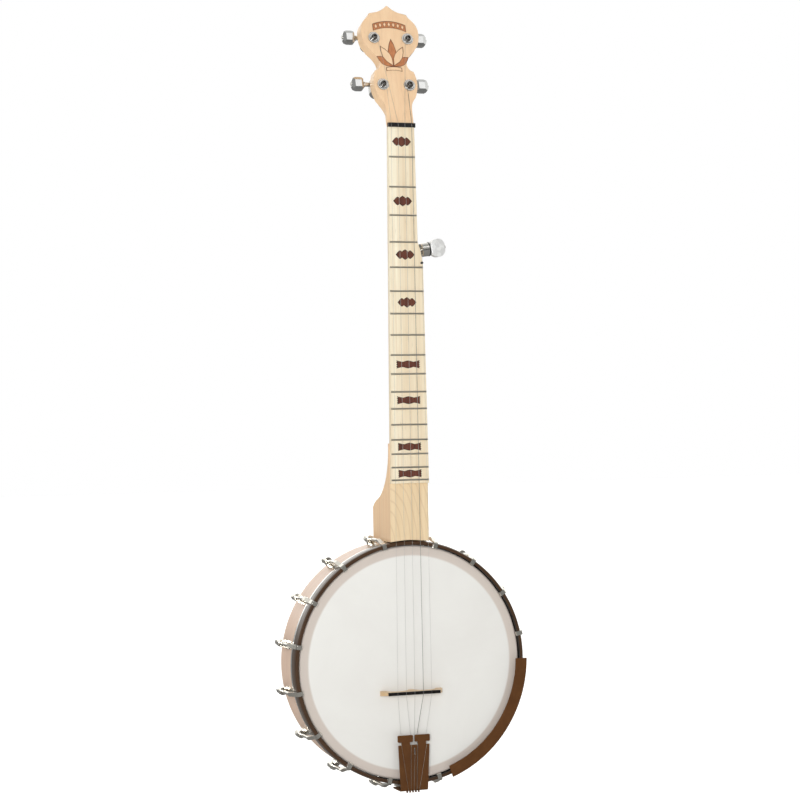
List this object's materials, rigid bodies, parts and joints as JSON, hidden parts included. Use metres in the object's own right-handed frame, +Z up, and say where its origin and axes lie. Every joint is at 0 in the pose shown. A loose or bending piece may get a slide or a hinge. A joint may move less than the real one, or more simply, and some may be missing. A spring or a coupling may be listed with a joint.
{
  "type": "five-string open-back banjo",
  "caption": "Left-handed five-string open-back banjo: maple neck and rim, stretched head held by a hoop with hooks and nuts, geared tuners, bridge, tailpiece and armrest.",
  "frame": {"origin": "centre of the rim's back face", "axes": "+Z up the neck, -Y out of the head towards the player's audience, +X to the right when looking at the head"},
  "size_m": [0.3003, 0.0774, 0.9342],
  "materials": {
    "maple": "satin lacquer",
    "board_maple": "satin",
    "rim_maple": "satin lacquer",
    "membrane": "frosted",
    "hoop_brown": "gloss",
    "brown_metal": "satin",
    "bright_metal": "polished",
    "nickel": "polished",
    "dark_steel": "plain",
    "fret_metal": "polished",
    "string_steel": "plain",
    "black_plastic": "gloss",
    "ebony": "satin",
    "pearl": "pearled",
    "gear_brass": "plain"
  },
  "bodies": {
    "instrument": {"rim": "rim_maple", "head": "membrane", "head_collar": "membrane", "flesh_hoop": "bright_metal", "tension_hoop": "hoop_brown", "hooks": "nickel", "hook_nuts": "nickel", "bracket_shoes": "nickel", "shoe_bolts": "nickel", "shoe_washers": "nickel", "coordinator_rod": "nickel", "rod_hardware": "nickel", "neck_bolts": "dark_steel", "neck_bolt_nuts": "nickel", "neck": "maple", "fingerboard": "board_maple", "frets": "fret_metal", "nut": "black_plastic", "fifth_string_nut": "black_plastic", "tuner_bushings": "nickel", "tuner_housings": "nickel", "tuner_covers": "nickel", "tuner_screws": "nickel", "fifth_peg_housing": "nickel", "fifth_peg_collar": "black_plastic", "bridge_base": "maple", "bridge_cap": "ebony", "tailpiece": "brown_metal", "tailpiece_bracket": "dark_steel", "tailpiece_fixings": "dark_steel", "armrest": "brown_metal", "armrest_brackets": "dark_steel", "armrest_screws": "dark_steel", "string_1": "string_steel", "string_2": "string_steel", "string_3": "string_steel", "string_4": "string_steel", "string_5": "string_steel"},
    "post_1": {"tuner_post_1": "nickel"},
    "button_1": {"tuner_shaft_1": "nickel", "tuner_button_1": "nickel", "tuner_button_screw_1": "nickel"},
    "post_2": {"tuner_post_2": "nickel"},
    "button_2": {"tuner_shaft_2": "nickel", "tuner_button_2": "nickel", "tuner_button_screw_2": "nickel"},
    "post_3": {"tuner_post_3": "nickel"},
    "button_3": {"tuner_shaft_3": "nickel", "tuner_button_3": "nickel", "tuner_button_screw_3": "nickel"},
    "post_4": {"tuner_post_4": "nickel"},
    "button_4": {"tuner_shaft_4": "nickel", "tuner_button_4": "nickel", "tuner_button_screw_4": "nickel"},
    "fifth_post": {"fifth_peg_post": "nickel"},
    "fifth_knob": {"fifth_peg_shaft": "nickel", "fifth_peg_knob": "pearl", "fifth_peg_screw": "nickel"}
  },
  "joints": [
    {"name": "button_1_turn", "type": "hinge", "parent": "instrument", "child": "button_1", "pos_m": [-0.0201, -0.02956, 0.68404], "axis": [1, 0, 0], "continuous": true},
    {"name": "post_1_turn", "type": "hinge", "parent": "instrument", "child": "post_1", "pos_m": [-0.0201, -0.05196, 0.68129], "axis": [0, 0.9588, -0.284], "continuous": true},
    {"name": "button_2_turn", "type": "hinge", "parent": "instrument", "child": "button_2", "pos_m": [-0.0247, -0.01251, 0.74157], "axis": [1, 0, 0], "continuous": true},
    {"name": "post_2_turn", "type": "hinge", "parent": "instrument", "child": "post_2", "pos_m": [-0.0247, -0.03492, 0.73882], "axis": [0, 0.9588, -0.284], "continuous": true},
    {"name": "button_3_turn", "type": "hinge", "parent": "instrument", "child": "button_3", "pos_m": [0.0177, -0.01251, 0.74157], "axis": [1, 0, 0], "continuous": true},
    {"name": "post_3_turn", "type": "hinge", "parent": "instrument", "child": "post_3", "pos_m": [0.0177, -0.03492, 0.73882], "axis": [0, 0.9588, -0.284], "continuous": true},
    {"name": "button_4_turn", "type": "hinge", "parent": "instrument", "child": "button_4", "pos_m": [0.0131, -0.02956, 0.68404], "axis": [1, 0, 0], "continuous": true},
    {"name": "post_4_turn", "type": "hinge", "parent": "instrument", "child": "post_4", "pos_m": [0.0131, -0.05196, 0.68129], "axis": [0, 0.9588, -0.284], "continuous": true},
    {"name": "fifth_knob_turn", "type": "hinge", "parent": "instrument", "child": "fifth_knob", "pos_m": [0.02988, -0.059, 0.48698], "axis": [0.9903, 0, 0.1392], "continuous": true},
    {"name": "fifth_post_turn", "type": "hinge", "parent": "instrument", "child": "fifth_post", "pos_m": [0.01998, -0.059, 0.48559], "axis": [0.9903, 0, 0.1392], "continuous": true}
  ],
  "couplings": [
    {"joint": "post_1_turn", "follows": "button_1_turn", "ratio": -0.071429},
    {"joint": "post_2_turn", "follows": "button_2_turn", "ratio": -0.071429},
    {"joint": "post_3_turn", "follows": "button_3_turn", "ratio": 0.071429},
    {"joint": "post_4_turn", "follows": "button_4_turn", "ratio": 0.071429},
    {"joint": "fifth_post_turn", "follows": "fifth_knob_turn", "ratio": 0.25}
  ]
}
